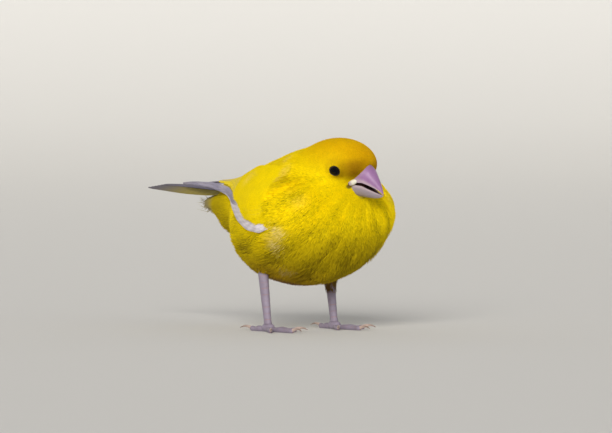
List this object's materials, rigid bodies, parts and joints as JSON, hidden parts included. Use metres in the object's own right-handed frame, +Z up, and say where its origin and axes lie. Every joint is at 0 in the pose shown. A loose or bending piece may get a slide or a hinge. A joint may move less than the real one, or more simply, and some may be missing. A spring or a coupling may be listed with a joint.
{
  "type": "canary",
  "caption": "Life-size yellow canary standing still with folded wings, its head turned a little to its left and its bill just open.",
  "frame": {"origin": "on the floor, under the middle of the bird's box", "axes": "+Z up, -Y the way the body faces, +Y towards the tail, +X the bird's left"},
  "size_m": [0.051, 0.1064, 0.0584],
  "materials": {
    "plumage": "soft overlapping body feathers, lemon yellow, warmer on the crown",
    "wing_plumage": "smooth yellow vanes with white edges along the wing's lower border",
    "tail_vane": "grey-white vanes with yellow edges",
    "pale_down": "short loose down, pale yellow",
    "bill_horn": "satin pink horn, paler below",
    "dark_eye": "wet gloss, nearly black",
    "leg_skin": "pale pink scaly skin",
    "claw_horn": "satin brownish horn"
  },
  "bodies": {
    "root": {"head": "plumage", "neck": "plumage", "trunk": "plumage", "tail": "tail_vane", "upper_bill": "bill_horn", "lower_bill": "bill_horn", "left_eye": "dark_eye", "right_eye": "dark_eye", "left_wing_coverts": "wing_plumage", "right_wing_coverts": "wing_plumage", "left_wing_flights": "wing_plumage", "right_wing_flights": "wing_plumage", "left_thigh": "pale_down", "right_thigh": "pale_down", "left_shank": "leg_skin", "right_shank": "leg_skin", "left_foot": "leg_skin", "right_foot": "leg_skin", "left_inner_toe": "leg_skin", "left_inner_claw": "claw_horn", "left_middle_toe": "leg_skin", "left_middle_claw": "claw_horn", "left_outer_toe": "leg_skin", "left_outer_claw": "claw_horn", "left_hind_toe": "leg_skin", "left_hind_claw": "claw_horn", "right_inner_toe": "leg_skin", "right_inner_claw": "claw_horn", "right_middle_toe": "leg_skin", "right_middle_claw": "claw_horn", "right_outer_toe": "leg_skin", "right_outer_claw": "claw_horn", "right_hind_toe": "leg_skin", "right_hind_claw": "claw_horn"}
  },
  "joints": []
}
